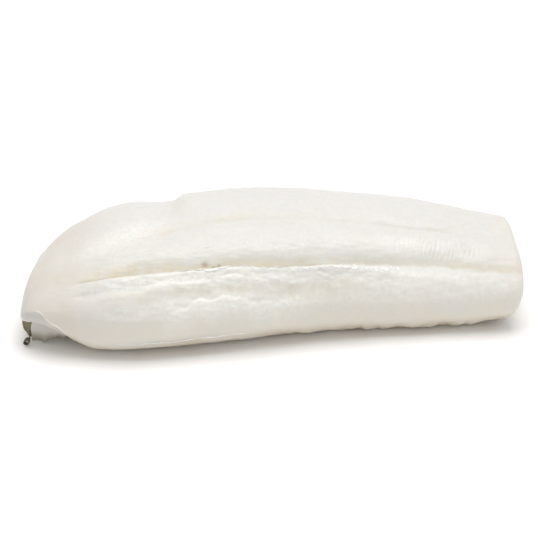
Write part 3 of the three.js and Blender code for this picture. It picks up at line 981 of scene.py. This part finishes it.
def hang(x, drop, bottom):
    """A point that hangs under the rim at x, a share of the way down to the bottom."""
    rim_y, rim_z = rim(x)
    past_fold = smooth((x - SCRAP_GAP["from"]) / SCRAP_GAP["run"])
    top = rim_z - SCRAP_GAP["at_fold"] + past_fold * (SCRAP_GAP["at_fold"] - SCRAP_GAP["past_it"])
    low = np.minimum(bottom, top - 0.6)
    inward = SCRAP["inset"] + SCRAP["lean"] * drop * (top - low) / TIP_Z
    ripple = drop * (0.6 * wander(x, 3.4, 92) + 0.6 * wander(x + 2 * drop, 1.5, 93))
    return np.stack([x, rim_y + inward + ripple, top + (low - top) * drop], -1)


sheet_lines = [np.linspace(0, 1, steps) for steps in SHEET_STEPS]
sheet_share, sheet_drop = np.meshgrid(*sheet_lines, indexing="ij")
film_sheet_x = SCRAP["from"] + (SCRAP["to"] - SCRAP["from"]) * sheet_share
torn_bottom = along(SCRAP_EDGE, sheet_share) + 0.5 * wander(film_sheet_x, 1.8, 90)
torn_bottom = torn_bottom + 0.3 * wander(film_sheet_x, 0.6, 91)
bead = SCRAP["bead"] * bump(sheet_drop, 0.05)
sheet_thick = SCRAP["thick"] * (0.4 + 0.6 * np.sin(np.pi * np.clip(sheet_drop, 0.1, 0.9))) + bead
film_sheet = thin_solid(hang(film_sheet_x, sheet_drop, torn_bottom), sheet_thick)

tongue_left = along(TONGUE["left"], sheet_drop)
tongue_x = tongue_left + (along(TONGUE["right"], sheet_drop) - tongue_left) * sheet_share
tongue_x = tongue_x + 0.15 * wander(7 * sheet_drop, 0.9, 94)
tongue_thick = TONGUE["thick"] * np.sin(np.pi * np.clip(sheet_share, 0.12, 0.88)) + bead
tongue = thin_solid(hang(tongue_x, sheet_drop, TONGUE["bottom"]), tongue_thick)

# The curled tail: a narrow strip from the tongue's tip, rolled a little over once round itself.
# Its neck comes first, as a share of its length, and runs down and forward before the roll
TAIL = {
    "steps": 44,
    "across": 9,
    "wide": 2.3,
    "thick": 0.45,
    "radius": 1.7,
    "turns": 1.2,
    "neck_share": 0.3,
    "neck": 2.2,
    "forward": 2.6,
}
tail_share = np.linspace(0, 1, TAIL["steps"])[:, None]
tail_side = np.linspace(-1, 1, TAIL["across"])[None, :]
tail_from = hang(np.array(TONGUE["left"][-1] + 0.5), 0.98, TONGUE["bottom"])
neck_share = np.clip(tail_share / TAIL["neck_share"], 0, 1)
past_neck = np.clip(tail_share - TAIL["neck_share"], 0, 1)
roll_turn = 2 * np.pi * TAIL["turns"] * past_neck / (1 - TAIL["neck_share"])
roll_size = TAIL["radius"] * (1 - 0.3 * past_neck)
tail_width = TAIL["wide"] * tail_side * (0.3 + 0.5 * tail_share)
tail_grid = np.stack(
    [
        tail_from[0] + roll_size * (np.cos(roll_turn) - 1) + 0.3 * tail_side,
        tail_from[1] - TAIL["forward"] * neck_share + tail_width,
        tail_from[2] - TAIL["neck"] * neck_share - roll_size * np.sin(roll_turn) + 0.2 * tail_side,
    ],
    -1,
)
tail = thin_solid(tail_grid, TAIL["thick"] * np.cos(1.2 * tail_side) * np.ones_like(tail_share))
skin_scrap = join_mesh("skin_scrap", [film_sheet, tongue, tail])

# Where the film turns browner towards its bottom, where it is spotted, and the white bead along the
# top
speckled = smooth((sheet_drop - 0.82) / 0.15)
browner_below = 0.6 * smooth((sheet_drop - 0.4) / 0.5)
tail_ones = np.ones(tail_grid.shape[:2])
marks = {
    "skin": (browner_below, 1 - 0.9 * bump(sheet_drop, 0.06), tail_ones),
    "dark": (speckled, smooth((sheet_drop - 0.2) / 0.6), 0.9 * tail_ones),
    "bead": (bump(sheet_drop, 0.05), bump(sheet_drop, 0.06), 0 * tail_ones),
}
for name, parts in marks.items():
    attribute = skin_scrap.data.attributes.new(name, "FLOAT", "POINT")
    values = np.concatenate([np.tile(part.ravel(), 2) for part in parts])
    attribute.data.foreach_set("value", values.astype(np.float32))

# Cod skin: olive brown with darker spots, wet and leathery, and the film beside it clear grey
SKIN_OLIVE = "#6d6040"
SKIN_DARK = "#3f3423"
FILM_CLEAR = "#c3c0b9"
FILM_SPOT = "#8b8577"
BEAD_WHITE = "#dedbd3"
leather, tree = new_material("cod_skin")
place = add(tree, "ShaderNodeTexCoord", {}, {}).outputs["Object"]
speckle = {"Vector": place, "Scale": 1 / (1.3 * MM), "Detail": 4.0}
speckle = add(tree, "ShaderNodeTexNoise", {}, speckle)
limits = {"Value": speckle.outputs["Fac"], "From Min": 0.42, "From Max": 0.62}
spots = add(tree, "ShaderNodeMapRange", {}, limits).outputs["Result"]
mark = {}
for name in marks:
    mark[name] = add(tree, "ShaderNodeAttribute", {"attribute_name": name}, {}).outputs["Fac"]
spots = {0: mark["dark"], 1: spots}
spots = add(tree, "ShaderNodeMath", {"operation": "MULTIPLY"}, spots).outputs[0]
olive = {0: spots, 6: colour(SKIN_OLIVE), 7: colour(SKIN_DARK)}
olive = add(tree, "ShaderNodeMix", {"data_type": "RGBA"}, olive).outputs[2]
clear = {0: spots, 6: colour(FILM_CLEAR), 7: colour(FILM_SPOT)}
clear = add(tree, "ShaderNodeMix", {"data_type": "RGBA"}, clear).outputs[2]
paint = {0: mark["skin"], 6: clear, 7: olive}
paint = add(tree, "ShaderNodeMix", {"data_type": "RGBA"}, paint).outputs[2]
paint = {0: mark["bead"], 6: paint, 7: colour(BEAD_WHITE)}
paint = add(tree, "ShaderNodeMix", {"data_type": "RGBA"}, paint).outputs[2]
scales = add(tree, "ShaderNodeTexVoronoi", {}, {"Vector": place, "Scale": 1 / (0.9 * MM)})
relief_bump = {"Height": scales.outputs["Distance"], "Strength": 0.5, "Distance": 0.15 * MM}
shader = add(
    tree,
    "ShaderNodeBsdfPrincipled",
    {},
    {
        "Base Color": paint,
        "Roughness": 0.4,
        "IOR": 1.45,
        "Normal": add(tree, "ShaderNodeBump", {}, relief_bump).outputs["Normal"],
        "Coat Weight": 0.5,
        "Coat Roughness": 0.15,
    },
)
add(tree, "ShaderNodeOutputMaterial", {}, {"Surface": shader.outputs["BSDF"]})
skin_scrap.data.materials.append(leather)
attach(skin_scrap, "root")
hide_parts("skin_scrap")

# The floor of the studio: one plain pale sheet of paper, far larger than the view. It is a
# little warm, as paper is, and bright enough to look white away from the loin's shade.
FLOOR_HALF = 3.0
PAPER = "#f9f8f7"
floor_mesh = bpy.data.meshes.new("studio_floor")
corners = [(-1, -1), (1, -1), (1, 1), (-1, 1)]
corners = [(x * FLOOR_HALF, y * FLOOR_HALF, 0) for x, y in corners]
floor_mesh.from_pydata(corners, [], [(0, 1, 2, 3)])
floor = bpy.data.objects.new("studio_floor", floor_mesh)
bpy.context.scene.collection.objects.link(floor)
paper, tree = new_material("pale_paper")
sheet = add(
    tree,
    "ShaderNodeBsdfPrincipled",
    {},
    {"Base Color": colour(PAPER), "Roughness": 0.95, "Specular IOR Level": 0.1},
)
add(tree, "ShaderNodeOutputMaterial", {}, {"Surface": sheet.outputs["BSDF"]})
floor_mesh.materials.append(paper)

# The light: a white room and one large soft box straight overhead, hung over a metre up, so
# the shade on the paper is soft and short
ROOM_LIGHT = 0.7
SOFT_BOX = {"size": 0.9, "place": (0.05, 0.0, 1.35), "watts": 11.5}
world = bpy.data.worlds.new("white_room")
bpy.context.scene.world = world
world.use_nodes = True
world.node_tree.nodes["Background"].inputs["Color"].default_value = (1, 1, 1, 1)
world.node_tree.nodes["Background"].inputs["Strength"].default_value = ROOM_LIGHT
lamp = bpy.data.lights.new("soft_box", "AREA")
lamp.shape = "SQUARE"
lamp.size = SOFT_BOX["size"]
lamp.energy = SOFT_BOX["watts"]
soft_box = bpy.data.objects.new("soft_box", lamp)
soft_box.location = SOFT_BOX["place"]
bpy.context.scene.collection.objects.link(soft_box)

# The camera: square on to the near side and looking down on the loin through a long lens. Its
# tilt is in degrees, and its lens and sensor are in the usual millimetres
CAMERA = {"down": 33, "distance": 1100, "aim": (0.4, 2.0, 22.5), "lens": 126.35, "sensor": 36}
lens = bpy.data.cameras.new("camera")
lens.lens = CAMERA["lens"]
lens.sensor_width = CAMERA["sensor"]
camera = bpy.data.objects.new("camera", lens)
down = np.radians(CAMERA["down"])
back = CAMERA["distance"] * np.array([0, np.cos(down), -np.sin(down)])
camera.location = (np.array(CAMERA["aim"]) - back) * MM
camera.rotation_euler = (np.pi / 2 - down, 0, 0)
bpy.context.scene.collection.objects.link(camera)
bpy.context.scene.camera = camera
bpy.context.scene.view_settings.view_transform = "Standard"
